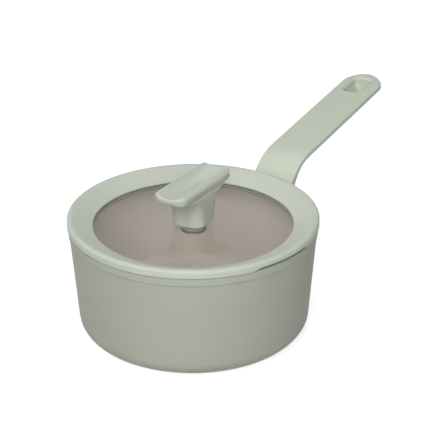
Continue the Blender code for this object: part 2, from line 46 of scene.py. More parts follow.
fullTurn = math.tau
scene = bpy.context.scene
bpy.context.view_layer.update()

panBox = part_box("pan_body")
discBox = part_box("induction_base")
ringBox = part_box("lid_rim")
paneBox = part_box("lid_glass")
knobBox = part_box("lid_knob")
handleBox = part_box("handle_grip")


# node trees: arithmetic on wires adds the nodes

def pickSocket(sockets, key):
    if isinstance(key, int):
        return sockets[key]
    return next(s for s in sockets if s.name == key and s.enabled)


class Wire:
    def __init__(self, recipe, socket):
        self.recipe = recipe
        self.socket = socket

    def calc(self, operation, other=0.0, swapped=False, clamp=False):
        first, second = (other, self) if swapped else (self, other)
        settings = {"operation": operation, "use_clamp": clamp}
        return self.recipe.node("ShaderNodeMath", settings, {0: first, 1: second})

    def __add__(self, other): return self.calc("ADD", other)
    def __radd__(self, other): return self.calc("ADD", other, True)
    def __sub__(self, other): return self.calc("SUBTRACT", other)
    def __rsub__(self, other): return self.calc("SUBTRACT", other, True)
    def __mul__(self, other): return self.calc("MULTIPLY", other)
    def __rmul__(self, other): return self.calc("MULTIPLY", other, True)
    def __truediv__(self, other): return self.calc("DIVIDE", other)
    def __rtruediv__(self, other): return self.calc("DIVIDE", other, True)
    def __pow__(self, other): return self.calc("POWER", other)
    def __mod__(self, other): return self.calc("FLOORED_MODULO", other)

    def clamped(self): return self.calc("ADD", 0.0, clamp=True)

    def eased(self):     # 0 to 1 with soft ends
        share = self.clamped()
        return share * share * (3 - 2 * share)

    def output(self, name): return Wire(self.recipe, pickSocket(self.socket.node.outputs, name))


class Recipe:
    def __init__(self, tree):
        self.tree = tree

    def node(self, kind, settings=None, sockets=None, out=0):
        made = self.tree.nodes.new(kind)
        for name, value in (settings or {}).items():
            setattr(made, name, value)
        for key, value in (sockets or {}).items():
            self.feed(pickSocket(made.inputs, key), value)
        return Wire(self, pickSocket(made.outputs, out) if made.outputs else None)

    def feed(self, socket, value):
        if isinstance(value, Wire):
            self.tree.links.new(value.socket, socket)
        else:
            socket.default_value = value

    def tint(self, amount, plain, other):     # one colour into another
        settings = {"data_type": "RGBA"}
        return self.node("ShaderNodeMix", settings, {0: amount, 6: plain, 7: other}, out=2)

    def noise(self, place, size, detail=2.0):     # size of one blotch, in metres
        return self.node("ShaderNodeTexNoise", None, {"Vector": place, "Scale": 1 / size, "Detail": detail})

    def place(self):
        return self.node("ShaderNodeTexCoord", None, None, "Object")

    def parts(self, vector):     # its first output is X, and output("Y") and output("Z") follow
        return self.node("ShaderNodeSeparateXYZ", None, {"Vector": vector})

    def spot(self, radius, angle, height):
        x, y = radius * angle.calc("COSINE"), radius * angle.calc("SINE")
        return self.node("ShaderNodeCombineXYZ", None, {"X": x, "Y": y, "Z": height})

    def bump(self, depth, height):
        sockets = {"Strength": 1.0, "Distance": depth, "Height": height}
        return self.node("ShaderNodeBump", None, sockets, "Normal")

    def change(self, shape, kind, sockets=None, settings=None):     # one geometry node on a shape
        return self.node("GeometryNode" + kind, settings, {"Geometry": shape, **(sockets or {})})

    def named(self, name):
        return self.node("GeometryNodeInputNamedAttribute", {"data_type": "FLOAT"}, {"Name": name})


def mix(low, high, share): return low + (high - low) * share


# finishes

def tone(red, green, blue):     # a screen colour, 0 to 255, as the light values a shader wants
    parts = []
    for value in (red, green, blue):
        share = value / 255
        parts.append(share / 12.92 if share <= 0.04045 else ((share + 0.055) / 1.055) ** 2.4)
    return (*parts, 1.0)


def shades(red, green, blue, drop):     # a finish's tone and the darker one that clouds it
    return {"tone": tone(red, green, blue), "lowTone": tone(red - drop, green - drop, blue - drop)}


def newFinish(name):
    material = bpy.data.materials.new(name)
    material.use_nodes = True
    material.node_tree.nodes.clear()
    return material, Recipe(material.node_tree)


def closeFinish(recipe, shader):
    recipe.node("ShaderNodeOutputMaterial", None, {"Surface": shader})


def satinFinish(name, look):
    # sprayed coats, silicone and moulded plastic: cloudy tone, fine grain, soft gloss
    material, recipe = newFinish(name)
    place = recipe.place()
    cloud = recipe.noise(place, look["cloudSize"], 3.0)
    grain = recipe.noise(place, look["grainSize"], 2.0)
    speck = recipe.node("ShaderNodeTexVoronoi", None, {"Vector": place, "Scale": 1 / look["speckSize"]})
    dots = (1 - speck * look["speckSharpness"]).clamped()
    shade = recipe.tint((cloud - 0.5) * look["cloudContrast"] + 0.5, look["tone"], look["lowTone"])
    colour = recipe.tint(dots * look["speckStrength"], shade, look["speckTone"])
    rough = look["roughness"] + (cloud - 0.5) * look["roughnessSpread"]
    rough = rough + (grain - 0.5) * look["grainRoughness"]
    normal = recipe.bump(look["grainDepth"], grain + dots * look["speckHeight"])
    sockets = {"Base Color": colour, "Roughness": rough, "Normal": normal,
               "Specular IOR Level": look["gloss"],
               "Sheen Weight": look["sheen"], "Sheen Roughness": look["sheenRoughness"]}
    closeFinish(recipe, recipe.node("ShaderNodeBsdfPrincipled", None, sockets))
    return material


plainLook = {
    **shades(190, 197, 181, 4), "speckTone": tone(176, 184, 168),
    "cloudSize": 60 * mm, "cloudContrast": 1.6, "grainSize": 0.7 * mm, "grainDepth": 0.012 * mm,
    "speckSize": 1.6 * mm, "speckSharpness": 3.5, "speckStrength": 0.10, "speckHeight": 0.2,
    "roughness": 0.46, "roughnessSpread": 0.10, "grainRoughness": 0.08,
    "gloss": 0.3, "sheen": 0.0, "sheenRoughness": 0.5,
}

moulded = {"roughness": 0.5, "grainSize": 0.5 * mm, "grainDepth": 0.018 * mm, "speckStrength": 0.05}

finishLooks = {
    "sageCoat": {**shades(180, 184, 171, 4), "roughness": 0.55, "gloss": 0.15},
    "taupeCoat": {**shades(208, 197, 188, 5), "roughness": 0.38,
                  "speckTone": tone(150, 139, 131), "speckStrength": 0.35, "speckSize": 1.1 * mm},
    "sageSilicone": {**shades(199, 205, 192, 3), "roughness": 0.52, "grainSize": 0.45 * mm,
                     "speckStrength": 0.04, "sheen": 0.05},
    "sageHandle": {**shades(203, 211, 195, 3), **moulded},
    "sageKnob": {**shades(201, 206, 194, 3), **moulded},
    # painted shade: the handle hole's walls are a darker sage, standing in for the shadow in the recess
    "holePaintedShade": {**shades(166, 170, 158, 4), "roughness": 0.55, "grainSize": 0.5 * mm,
                   "speckStrength": 0.05, "gloss": 0.15},
    # painted shade: a darker grey silicone for the ring's lower lip, standing in for its shadow under the
    # glass
    "greySilicone": {**shades(150, 147, 139, 4), "roughness": 0.6, "grainSize": 0.45 * mm,
                     "speckStrength": 0.04, "gloss": 0.2},
    "washerSilicone": {**shades(180, 183, 172, 5), "roughness": 0.5, "grainSize": 0.4 * mm},
}


def metalFinish(name, look):
    # turned or drawn metal: fine marks round or across the piece
    material, recipe = newFinish(name)
    place = recipe.place()
    parts = recipe.parts(place)
    across = parts.output("X") - look["centre"][0]
    along = parts.output("Y") - look["centre"][1]
    radius = (across * across + along * along) ** 0.5
    rings = recipe.node("ShaderNodeTexNoise", {"noise_dimensions": "1D"},
                        {"W": radius + parts.output("Z"), "Scale": 1 / look["markSize"], "Detail": 3.0})
    cloud = recipe.noise(place, look["cloudSize"], 3.0)
    colour = recipe.tint(cloud, look["tone"], look["lowTone"])
    rough = look["roughness"] + (rings - 0.5) * look["markRoughness"] + (cloud - 0.5) * look["cloudRoughness"]
    normal = recipe.bump(look["markDepth"], rings)
    sockets = {"Base Color": colour, "Roughness": rough, "Metallic": 1.0, "Normal": normal}
    closeFinish(recipe, recipe.node("ShaderNodeBsdfPrincipled", None, sockets))
    return material


plainMetal = {"centre": (0.0, 0.0), "cloudRoughness": 0.08}

metalLooks = {
    "turnedSteel": {"tone": tone(196, 196, 194), "lowTone": tone(180, 181, 180),
                    "roughness": 0.34, "markSize": 0.25 * mm, "markRoughness": 0.16,
                    "markDepth": 0.006 * mm, "cloudSize": 30 * mm},
    "screwSteel": {"tone": tone(200, 199, 196), "lowTone": tone(184, 184, 182),
                   "roughness": 0.28, "markSize": 0.15 * mm, "markRoughness": 0.12,
                   "markDepth": 0.003 * mm, "cloudSize": 8 * mm},
    "bracketSteel": {"tone": tone(186, 187, 184), "lowTone": tone(168, 170, 167), "centre": (0.09, 0.0),
                     "roughness": 0.42, "markSize": 0.5 * mm, "markRoughness": 0.14,
                     "markDepth": 0.006 * mm, "cloudSize": 10 * mm},
    "insertBrass": {"tone": tone(214, 184, 120), "lowTone": tone(196, 164, 100),
                    "roughness": 0.3, "markSize": 0.2 * mm, "markRoughness": 0.12,
                    "markDepth": 0.004 * mm, "cloudSize": 6 * mm},
}


def paneFinish(name, look):
    # clear toughened glass, greener near the edge, with lamplight passing straight through
    material, recipe = newFinish(name)
    parts = recipe.parts(recipe.place())
    radius = (parts.output("X") * parts.output("X") + parts.output("Y") * parts.output("Y")) ** 0.5
    edge = ((radius - look["edgeFrom"]) / look["edgeWidth"]).eased()
    colour = recipe.tint(edge, look["tone"], look["edgeTone"])
    sockets = {"Base Color": colour, "Roughness": look["roughness"], "IOR": look["ior"],
               "Specular IOR Level": look["gloss"], "Transmission Weight": 1.0}
    glass = recipe.node("ShaderNodeBsdfPrincipled", None, sockets)
    through = recipe.node("ShaderNodeBsdfTransparent", None, {"Color": look["lampTone"]})
    lampRay = recipe.node("ShaderNodeLightPath", None, None, "Is Shadow Ray")
    closeFinish(recipe, recipe.node("ShaderNodeMixShader", None, {0: lampRay, 1: glass, 2: through}))
    return material


paneLook = {
    "tone": (0.96, 0.975, 0.965, 1.0), "edgeTone": (0.72, 0.84, 0.78, 1.0),
    "lampTone": (0.70, 0.71, 0.70, 1.0),     # how much of a lamp's light comes through
    "edgeFrom": 66 * mm, "edgeWidth": 6 * mm, "roughness": 0.0, "ior": 1.5, "gloss": 0.2,
}

finishes = {name: satinFinish(name, {**plainLook, **look}) for name, look in finishLooks.items()}
finishes.update({name: metalFinish(name, {**plainMetal, **look}) for name, look in metalLooks.items()})
finishes["clearPane"] = paneFinish("clearPane", paneLook)
print("finishes:", len(finishes))


# mesh helpers

markNames = ("threaded", "knurled", "rises", "inner")     # what a profile's points can ask of the lathe


def newPiece(name, mesh):
    piece = bpy.data.objects.new(name, mesh)
    scene.collection.objects.link(piece)
    return piece


def settle(piece):
    # the evaluated result becomes the piece's own mesh, and the modifiers go
    bpy.context.view_layer.update()
    evaluated = piece.evaluated_get(bpy.context.evaluated_depsgraph_get())
    mesh = bpy.data.meshes.new_from_object(evaluated)
    piece.modifiers.clear()
    piece.data = mesh
    return piece


def cleanUp(piece, sharp=40.0):
    mesh = piece.data
    work = bmesh.new()
    work.from_mesh(mesh)
    bmesh.ops.remove_doubles(work, verts=work.verts, dist=tiny / 2)
    bmesh.ops.dissolve_degenerate(work, edges=work.edges, dist=tiny / 2)
    bmesh.ops.recalc_face_normals(work, faces=work.faces)
    work.to_mesh(mesh)
    work.free()
    for attribute in [a for a in mesh.attributes if a.name in markNames]:
        mesh.attributes.remove(attribute)
    mesh.shade_smooth()
    mesh.set_sharp_from_angle(angle=math.radians(sharp))
    return piece


def handOver(piece, body, nodes, sharp=40.0):
    # clean mesh, its body, and the plain solids it stands for hidden
    cleanUp(piece, sharp)
    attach(piece, body)
    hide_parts(*nodes)
    print(f"{piece.name}: {len(piece.data.polygons)} faces")


def cut(piece, cutter):
    modifier = piece.modifiers.new("cut", "BOOLEAN")
    modifier.operation = "DIFFERENCE"
    modifier.solver = "EXACT"
    modifier.object = cutter
    settle(piece)
    bpy.data.objects.remove(cutter)
    return piece


def pieceFrom(work, name, finish):
    mesh = bpy.data.meshes.new(name)
    work.to_mesh(mesh)
    work.free()
    mesh.materials.append(finishes[finish])
    return newPiece(name, mesh)


def boxCutter(name, size, middle, finish, place=Matrix()):
    work = bmesh.new()
    bmesh.ops.create_cube(work, size=1.0)
    bmesh.ops.scale(work, vec=size, verts=work.verts)
    bmesh.ops.translate(work, vec=middle, verts=work.verts)
    bmesh.ops.transform(work, matrix=place, verts=work.verts)
    return pieceFrom(work, name, finish)


def roundedPath(corners, closed=False, steps=5):
    # (x, z, radius) corners as a line of points with each corner rounded
    count = len(corners)
    path = []
    for i, (x, z, radius) in enumerate(corners):
        here = Vector((x, z))
        if radius == 0 or (not closed and i in (0, count - 1)):
            path.append(here)
            continue
        toBack = (Vector(corners[i - 1][:2]) - here).normalized()
        toNext = (Vector(corners[(i + 1) % count][:2]) - here).normalized()
        half = toBack.angle(toNext) / 2
        reach = radius / math.tan(half)
        centre = here + (toBack + toNext).normalized() * (radius / math.sin(half))
        start = here + toBack * reach - centre
        sweep = start.angle_signed(here + toNext * reach - centre)
        for step in range(steps + 1):
            turn = Matrix.Rotation(-sweep * step / steps, 2)
            path.append(centre + turn @ start)
    if closed:
        path.append(path[0].copy())
    return path


def filled(path, longest):
    # more points on long stretches
    dense = [path[0]]
    for start, end in zip(path, path[1:]):
        parts = max(1, math.ceil((end - start).length / longest))
        dense += [start.lerp(end, part / parts) for part in range(1, parts + 1)]
    return dense


# turned pieces: a Geometry Nodes lathe, with a thread, a knurl or notches where the profile asks for them

def addInputs(tree, inputs):
    tree.interface.new_socket("Geometry", in_out="INPUT", socket_type="NodeSocketGeometry")
    for name, default in inputs.items():
        kind = {int: "Int", float: "Float", Vector: "Vector"}.get(type(default), "Material")
        socket = tree.interface.new_socket(name, in_out="INPUT", socket_type="NodeSocket" + kind)
        socket.default_value = default
    tree.interface.new_socket("Geometry", in_out="OUTPUT", socket_type="NodeSocketGeometry")


def runTree(piece, tree, values):
    modifier = piece.modifiers.new(tree.name, "NODES")
    modifier.node_group = tree
    for item in tree.interface.items_tree:
        if item.in_out == "INPUT" and item.name in values:
            modifier[item.identifier] = values[item.name]
    return settle(piece)


def makeLathe():
    tree = bpy.data.node_groups.new("lathe", "GeometryNodeTree")
    addInputs(tree, {
        "Sides": 96, "Thread pitch": 0.7 * mm, "Thread depth": 0.0,
        "Knurl count": 30, "Knurl depth": 0.0, "Notch count": 2,
        "Notch middle": 0.0, "Notch sweep": 0.5, "Notch ease": 0.1,
        "Notch rise": 0.0, "Finish": None, "Inner finish": None,
    })
    recipe = Recipe(tree)
    given = recipe.node("NodeGroupInput")
    profile = given.output("Geometry")
    sides = given.output("Sides")
    index = recipe.node("GeometryNodeInputIndex")
    rows = recipe.node("GeometryNodeAttributeDomainSize", None, {"Geometry": profile}, "Point Count")
    column = ((index + 0.5) / rows).calc("FLOOR")
    row = index - column * rows
    around = column / sides * fullTurn

    def fromProfile(kind, value):
        sockets = {"Geometry": profile, "Value": value, "Index": row}
        return recipe.node("GeometryNodeSampleIndex", {"data_type": kind}, sockets)

    def mark(name):
        return fromProfile("FLOAT", recipe.named(name))

    point = fromProfile("FLOAT_VECTOR", recipe.node("GeometryNodeInputPosition"))
    parts = recipe.parts(point)
    height = parts.output("Z")
    turn = (height / given.output("Thread pitch") - around / fullTurn) % 1.0
    flank, crestShare = 2.6, 0.15     # how steep the thread's sides are, and its flat top
    thread = 1 - ((turn - 0.5).calc("ABSOLUTE") * flank - crestShare).clamped()
    tooth = ((around * given.output("Knurl count") / fullTurn) % 1.0 - 0.5).calc("ABSOLUTE") * 2
    radius = parts.output("X") - (1 - thread) * given.output("Thread depth") * mark("threaded")
    radius = radius - tooth * given.output("Knurl depth") * mark("knurled")

    spacing = fullTurn / given.output("Notch count")
    apart = (around - given.output("Notch middle") + spacing / 2) % spacing - spacing / 2
    apart = apart.calc("ABSOLUTE")
    inside = (given.output("Notch sweep") / 2 - apart) / given.output("Notch ease")
    lifted = height + inside.eased() * given.output("Notch rise") * mark("rises")
    sheet = recipe.node("GeometryNodeMeshGrid", None, {"Vertices X": sides + 1, "Vertices Y": rows})
    sheet = recipe.change(sheet, "StoreNamedAttribute", {"Name": "inner", "Value": mark("inner")},
                          {"data_type": "FLOAT", "domain": "POINT"})
    sheet = recipe.change(sheet, "SetPosition", {"Position": recipe.spot(radius, around, lifted)})
    sheet = recipe.change(sheet, "MergeByDistance", {"Distance": tiny})
    sheet = recipe.change(sheet, "RealizeInstances")
    sheet = recipe.change(sheet, "SetMaterial", {"Material": given.output("Finish")})
    coated = recipe.named("inner").calc("GREATER_THAN", 0.5)
    inner = {"Selection": coated, "Material": given.output("Inner finish")}
    sheet = recipe.change(sheet, "SetMaterial", inner)
    recipe.node("NodeGroupOutput", None, {"Geometry": sheet})
    return tree


lathe = makeLathe()


def turned(name, path, finish, sides=160, marks=None, **values):
    # path of (x, z) points from the axis or round a closed section, and marks that say how much of a
    # thread, a knurl, a notch or the inner finish each point has
    mesh = bpy.data.meshes.new(name)
    mesh.from_pydata([(point[0], 0.0, point[1]) for point in path], [], [])
    for mark in markNames:
        attribute = mesh.attributes.new(mark, "FLOAT", "POINT")
        strength = (marks or {}).get(mark, 0.0)
        attribute.data.foreach_set("value", [float(strength(*point)) if strength else 0.0 for point in path])
    inner = values.pop("innerFinish", finish)
    settings = {"Sides": sides, "Finish": finishes[finish], "Inner finish": finishes[inner]}
    settings.update(values)
    return runTree(newPiece(name, mesh), lathe, settings)


# pan

panLook = {
    "wall": 2.9 * mm, "taper": 0.074, "rimBand": 5.0 * mm, "rimFlare": 0.6 * mm, "rimRound": 0.6 * mm,
    "bandEnd": 0.7 * mm, "bandRound": 0.5 * mm, "bandFootRound": 1.0 * mm, "shoulderRound": 4.0 * mm,
    "floor": 4.5 * mm, "corner": 12.2 * mm, "footRound": 0.5 * mm,
    "discRecess": 1.1 * mm, "discGap": 0.3 * mm, "recessRound": 0.2 * mm, "longest": 5.0 * mm, "sides": 224,
}


def makePanShell(look):
    top = panBox[1].z
    rim = panBox[1].x
    wallTop = rim - look["rimFlare"]
    bandFoot = top - look["rimBand"] - look["bandEnd"]
    slope = look["taper"]

    def outer(z): return wallTop - slope * (bandFoot - z)
    def inner(z): return outer(z) - look["wall"]

    disc = discBox[1].x + look["discGap"]
    ceiling = look["discRecess"]
    innerRim = wallTop - look["wall"]
    outline = [
        (0.0, look["floor"], 0),
        (inner(look["floor"]), look["floor"], look["corner"] - look["wall"]),
        (inner(bandFoot), bandFoot, look["shoulderRound"]),
        (innerRim, top, look["rimRound"]),
        (rim, top, look["rimRound"]),
        (rim, top - look["rimBand"], look["bandRound"]),
        (outer(bandFoot), bandFoot, look["bandFootRound"]),
        (outer(0.0), 0.0, look["corner"]),
        (disc, 0.0, look["footRound"]),
        (disc, ceiling, look["recessRound"]),
        (0.0, ceiling, 0),
    ]
    path = filled(roundedPath(outline, steps=9), look["longest"])
    rimStart = next(i for i, point in enumerate(path) if point.y > top - 10 * tiny)
    coated = {(point.x, point.y) for point in path[:rimStart + 1]}
    marks = {"inner": lambda x, z: (x, z) in coated}
    shell = turned("panShell", path, "sageCoat", look["sides"], marks, innerFinish="taupeCoat")
    handOver(shell, "pan", ["pan_body"], 50)


discLook = {
    "grooves": 22, "grooveDepth": 0.12 * mm, "edge": 0.25 * mm, "hub": 4.0 * mm, "margin": 2.0 * mm,
    "groove": ((0.30, 0), (0.42, 1), (0.70, 1), (0.82, 0)),     # share of the pitch, share of the depth
    "sides": 144,
}


def makeBaseDisc(look):
    # a steel disc with fine turned grooves, let into the underside
    low, high = discBox[0].z, discBox[1].z
    radius = discBox[1].x
    path = [Vector((0.0, low))]
    pitch = (radius - look["hub"] - look["margin"]) / look["grooves"]
    for groove in range(look["grooves"]):
        start = look["hub"] + groove * pitch
        for share, depth in look["groove"]:
            path.append(Vector((start + pitch * share, low + depth * look["grooveDepth"])))
    path += [Vector((radius - look["edge"], low)), Vector((radius, low + look["edge"])),
             Vector((radius, high)), Vector((0.0, high))]
    disc = turned("baseDisc", path, "turnedSteel", look["sides"])
    handOver(disc, "pan", ["induction_base"], 25)


makePanShell(panLook)
makeBaseDisc(discLook)


# lid ring

paneThickness = 4.0 * mm

ringLook = {
    "lipUnder": 0.3 * mm,       # above the pan's rim
    "lipRound": 0.7 * mm, "crestRound": 2.0 * mm, "crestWidth": 3.6 * mm, "crestDrop": 0.5 * mm,
    "upperLip": 1.3 * mm, "lowerLip": 1.6 * mm, "setBack": 0.8 * mm, "bite": 4.9 * mm, "gap": 0.3 * mm,
    "grooveWall": 2.2 * mm, "channel": 3.3 * mm, "channelRise": 1.2 * mm, "skirt": 1.6 * mm,
    "skirtGap": 0.6 * mm, "sides": 300, "fadeDepth": 0.8 * mm,
    "notches": 2, "notchSweep": math.radians(36), "notchEase": math.radians(5), "notchRise": 1.7 * mm,
    "notchMiddle": -math.pi / 2 - math.radians(13.4),
}

slotLook = {
    "count": 5, "width": 3.0 * mm, "spread": math.radians(28.56), "drop": 4.0 * mm,
    "lipMargin": 2.0 * mm, "ceilingGap": 0.15 * mm,
}


def makeSlotRow():
    # boxes in two rows round the ring, for cutting the drain slots
    tree = bpy.data.node_groups.new("slotRow", "GeometryNodeTree")
    addInputs(tree, {
        "Slots": 5, "Rows": 2, "Spread": 0.5, "Middle": 0.0,
        "Radius": 0.08, "Height": 0.075, "Size": Vector((1, 1, 1)),
        "Finish": None,
    })
    recipe = Recipe(tree)
    given = recipe.node("NodeGroupInput")
    slots = given.output("Slots")
    index = recipe.node("GeometryNodeInputIndex")
    line = recipe.node("GeometryNodeMeshLine", None, {"Count": slots * given.output("Rows")})
    row = ((index + 0.5) / slots).calc("FLOOR")
    inRow = index - row * slots
    step = given.output("Spread") / (slots - 1)
    angle = given.output("Middle") + (inRow - (slots - 1) / 2) * step
    angle = angle + row * fullTurn / given.output("Rows")
    spot = recipe.spot(given.output("Radius"), angle, given.output("Height"))
    line = recipe.change(line, "SetPosition", {"Position": spot})
    heading = recipe.node("ShaderNodeCombineXYZ", None, {"Z": angle})
    box = recipe.node("GeometryNodeMeshCube", None, {"Size": given.output("Size")})
    boxes = recipe.node("GeometryNodeInstanceOnPoints", None,
                        {"Points": line, "Instance": box, "Rotation": heading})
    boxes = recipe.change(boxes, "RealizeInstances")
    boxes = recipe.change(boxes, "SetMaterial", {"Material": given.output("Finish")})
    recipe.node("NodeGroupOutput", None, {"Geometry": boxes})
    return tree


def makeRimRing(look, slots):
    lip, crest, skirtFoot = ringBox[1].x, ringBox[1].z, ringBox[0].z
    rim = panBox[1].z
    under = rim + look["lipUnder"]
    skirt = panBox[1].x - panLook["rimFlare"] - panLook["wall"] - look["skirtGap"]
    paneEdge = paneBox[1].x
    paneTop = paneBox[0].z + paneThickness
    inner = paneEdge - look["bite"]
    groove = paneEdge + look["gap"]
    grooveTop = paneTop + look["gap"]
    grooveFoot = paneBox[0].z - look["gap"]
    behind = groove + look["grooveWall"]
    channelTop = rim + look["channelRise"]
    lowInner = inner + look["setBack"]
    lowFoot = grooveFoot - look["lowerLip"]
    outline = [
        (lip, under, look["lipRound"]),
        (lip, crest - 0.05 * mm, look["crestRound"]),
        (lip - look["crestWidth"], crest - look["crestDrop"], 3.0 * mm),
        (inner, grooveTop + look["upperLip"], 0.75 * mm),
        (inner, grooveTop, 0.25 * mm),
        (groove, grooveTop, 0.2 * mm),
        (groove, grooveFoot, 0.2 * mm),
        (lowInner, grooveFoot, 0.3 * mm),
        (lowInner, lowFoot, 0.5 * mm),
        (behind, lowFoot, 0.4 * mm),
        (behind, channelTop, 0.6 * mm),
        (skirt - look["skirt"], channelTop, 0.6 * mm),
        (skirt - look["skirt"], skirtFoot, 0.3 * mm),
        (skirt, skirtFoot, 0.7 * mm),
        (skirt, under, 0.25 * mm),
    ]
    path = filled(roundedPath(outline, closed=True, steps=7), 3 * mm)

    def lift(x, z):     # the lip's underside lifts fully, its outer face less and less towards the crest
        if x < skirt - 100 * tiny or z < under - look["fadeDepth"]:
            return 0.0
        fadeEnd = crest - look["crestRound"]
        return max(0.0, min(1.0, (fadeEnd - z) / (fadeEnd - under)))

    # painted shade: these points of the lower lip take the darker grey finish in place of their shadow
    def paintedShadeUnderPane(x, z):     # the lower lip, seen through the glass
        return 1.0 if x < groove and z < paneBox[0].z + paneThickness / 10 else 0.0

    notch = {"Notch count": look["notches"], "Notch sweep": look["notchSweep"],
             "Notch ease": look["notchEase"], "Notch middle": look["notchMiddle"],
             "Notch rise": look["notchRise"]}
    marks = {"rises": lift, "inner": paintedShadeUnderPane}
    ring = turned("rimRing", path, "sageSilicone", look["sides"], marks, innerFinish="greySilicone", **notch)
    cleanUp(ring)

    low, high = rim - slots["drop"], channelTop - slots["ceilingGap"]
    nearest, farthest = skirt - look["skirt"] - look["channel"] / 2, lip - slots["lipMargin"]
    cutters = newPiece("slotCutters", bpy.data.meshes.new("slotCutters"))
    runTree(cutters, makeSlotRow(), {
        "Slots": slots["count"], "Rows": look["notches"], "Spread": slots["spread"],
        "Middle": look["notchMiddle"],
        "Radius": (nearest + farthest) / 2, "Height": (low + high) / 2,
        "Size": (farthest - nearest, slots["width"], high - low), "Finish": finishes["sageSilicone"]})
    cut(ring, cutters)
    handOver(ring, "lid", ["lid_rim"], 50)


makeRimRing(ringLook, slotLook)


# glass

paneShape = {
    "dome": 0.9 * mm, "thickness": paneThickness, "hole": 4.2 * mm, "holeRound": 0.3 * mm,
    "seat": 11.8 * mm, "edgeRound": 1.2 * mm, "steps": 26, "sides": 200,
}


def makeLidPane(look):
    edge = paneBox[1].x
    crown = paneBox[1].z
    seat = look["seat"]

    def top(r):
        share = max(0.0, (r - seat) / (edge - seat))
        return crown - look["dome"] * share * share

    steps = look["steps"]
    radii = [mix(look["hole"], edge, step / steps) for step in range(steps + 1)]
    upper = [(r, top(r), 0) for r in radii]
    lower = [(r, top(r) - look["thickness"], 0) for r in reversed(radii)]
    upper[-1] = (edge, top(edge), look["edgeRound"])
    lower[0] = (edge, top(edge) - look["thickness"], look["edgeRound"])
    upper[0] = (look["hole"], crown, look["holeRound"])
    lower[-1] = (look["hole"], crown - look["thickness"], look["holeRound"])
    path = roundedPath(upper + lower, closed=True, steps=6)
    pane = turned("lidPane", path, "clearPane", look["sides"])
    handOver(pane, "lid", ["lid_glass"], 45)


makeLidPane(paneShape)


# lofted pieces

def lofted(name, loops, finish):
    work = bmesh.new()
    rings = [[work.verts.new(point) for point in loop] for loop in loops]
    for ring, following in zip(rings, rings[1:]):
        count = len(ring)
        for i in range(count):
            j = (i + 1) % count
            work.faces.new((ring[i], ring[j], following[j], following[i]))
    work.faces.new(rings[0])
    work.faces.new(rings[-1])
    bmesh.ops.recalc_face_normals(work, faces=work.faces)
    return pieceFrom(work, name, finish)


def softRectangle(halfX, halfY, corner, z):
    # the same number of points whatever the size, so that outlines can be joined into a skin
    cornerSteps, sideSteps = 8, (24, 8)

    def spot(quarter, share):
        sideX, sideY = ((1, 1), (-1, 1), (-1, -1), (1, -1))[quarter % 4]
        angle = (quarter + share) * math.pi / 2
        centre = Vector((sideX * (halfX - corner), sideY * (halfY - corner), z))
        return centre + corner * Vector((math.cos(angle), math.sin(angle), 0))

    loop = []
    for quarter in range(4):
        loop += [spot(quarter, step / cornerSteps) for step in range(cornerSteps + 1)]
        start, end, steps = loop[-1], spot(quarter + 1, 0), sideSteps[quarter % 2]
        loop += [start.lerp(end, step / steps) for step in range(1, steps)]
    return loop


def throughLevels(levels, steps):
    # a smooth run through rows of numbers: a Catmull-Rom curve in each column
    def between(a, b, c, d, t):
        bend = (2 * a - 5 * b + 4 * c - d) * t * t + (3 * b - a - 3 * c + d) * t ** 3
        return 0.5 * (2 * b + (c - a) * t + bend)

    run = []
    last = len(levels) - 1
    for i in range(last):
        rows = levels[max(0, i - 1)], levels[i], levels[i + 1], levels[min(last, i + 2)]
        for step in range(steps):
            run.append(tuple(between(*column, step / steps) for column in zip(*rows)))
    return run + [levels[-1]]


# knob

knobLook = {
    "edge": 6.9 * mm, "corner": 6.0 * mm, "sideRound": 2.9 * mm, "sideDrop": 2.8 * mm, "endRound": 1.0 * mm,
    "rounding": 1.55, "ridge": 3.0 * mm, "trough": 6.2 * mm, "endTrough": 2.3 * mm, "bowl": 2.6,
    "column": 11.8 * mm, "columnCorner": 7.5 * mm, "bore": 4.0 * mm, "boreDepth": 14.0 * mm,
    "boreEase": 0.3 * mm, "footRound": 0.7 * mm, "footDrop": 1.2 * mm, "washerRecess": 8.4 * mm,
    "recessEase": 0.2 * mm, "roundness": 0.99,     # a round level's corner, share of its half width
    # longer and wider than the column, and share of the way up to the tray's edge
    "flare": ((0.7 * mm, 0.2 * mm, 0.40), (1.8 * mm, 0.3 * mm, 0.62), (5.0 * mm, 0.2 * mm, 0.80)),
    "flareEnd": (11.0 * mm, 0.93),
    # inset of the tray's half length and half width, and height above its edge
    "trayFoot": ((3.0 * mm, 0.8 * mm, 0.0), (0.7 * mm, 0.2 * mm, 0.5 * mm), (0.0, 0.0, 1.2 * mm)),
    "roundSteps": 10, "troughSteps": 18, "lastInset": 0.2 * mm,
}


